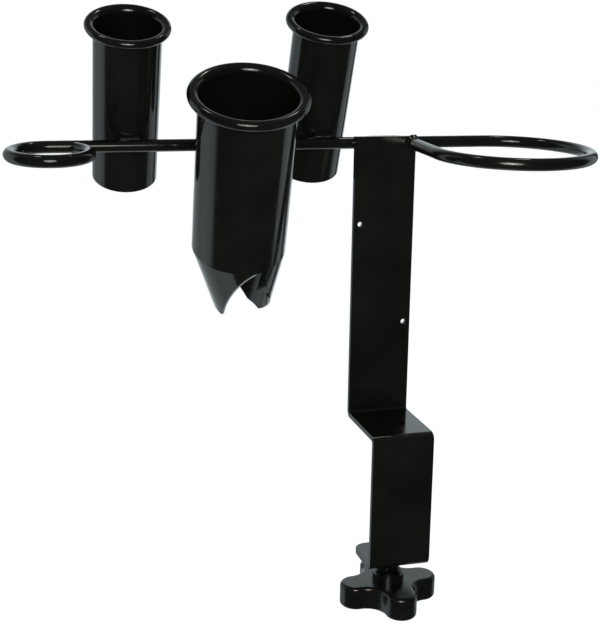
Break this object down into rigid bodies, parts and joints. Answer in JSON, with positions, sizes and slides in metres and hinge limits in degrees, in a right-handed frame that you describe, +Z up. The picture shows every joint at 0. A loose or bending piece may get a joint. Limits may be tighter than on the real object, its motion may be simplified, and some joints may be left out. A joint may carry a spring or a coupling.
{
  "type": "rod holder",
  "caption": "Painted steel clamp-on fishing rod holder: leaning rim-rolled tubes on a bent cross rod, on a stepped flat bar with a knob-turned screw clamp",
  "frame": {"origin": "where the clamp screw's axis meets the underside of the shelf, which is the upper jaw", "axes": "+Z up along the clamp screw, +X along the cross rod towards the large loop, +Y back, away from the person the tubes lean towards"},
  "size_m": [0.4453, 0.1965, 0.4842],
  "materials": {
    "gloss_black_bar": "gloss black paint on flat bar",
    "gloss_black_rod": "gloss black paint on round rod",
    "gloss_black_tube": "gloss black paint on tube",
    "painted_weld": "gloss black paint over rippled weld",
    "zinc_screw": "zinc plate",
    "pad_steel": "zinc plate, turned",
    "pad_rubber": "matt",
    "knob_plastic": "satin moulding",
    "insert_brass": "knurled, as turned"
  },
  "bodies": {
    "frame": {"bracket": "gloss_black_bar", "cross_rod": "gloss_black_rod", "left_rod_tube": "gloss_black_tube", "right_rod_tube": "gloss_black_tube", "front_tube": "gloss_black_tube", "left_tube_weld": "painted_weld", "right_tube_weld": "painted_weld", "front_tube_weld": "painted_weld", "bracket_weld": "painted_weld", "small_ring_weld": "painted_weld", "large_loop_weld": "painted_weld", "clamp_nut": "gloss_black_bar", "clamp_nut_weld": "painted_weld"},
    "pad": {"pressure_pad": "pad_steel", "pad_face": "pad_rubber"},
    "screw_and_knob": {"clamp_screw": "zinc_screw", "pad_retainer": "zinc_screw", "knob_body": "knob_plastic", "knob_insert": "insert_brass", "knob_washer": "zinc_screw", "knob_lock_nut": "zinc_screw", "knob_cap": "knob_plastic"}
  },
  "joints": [
    {"name": "clamp_slide", "type": "slide", "parent": "frame", "child": "pad", "axis": [0, 0, 1], "range_m": [-0.0677, 0.0068]},
    {"name": "knob_turn", "type": "hinge", "parent": "pad", "child": "screw_and_knob", "pos_m": [0, 0, 0], "axis": [0, 0, 1], "range_deg": [-16248, 1632]}
  ],
  "couplings": [
    {"joint": "clamp_slide", "follows": "knob_turn", "m_per_rad": 0.00023873}
  ]
}
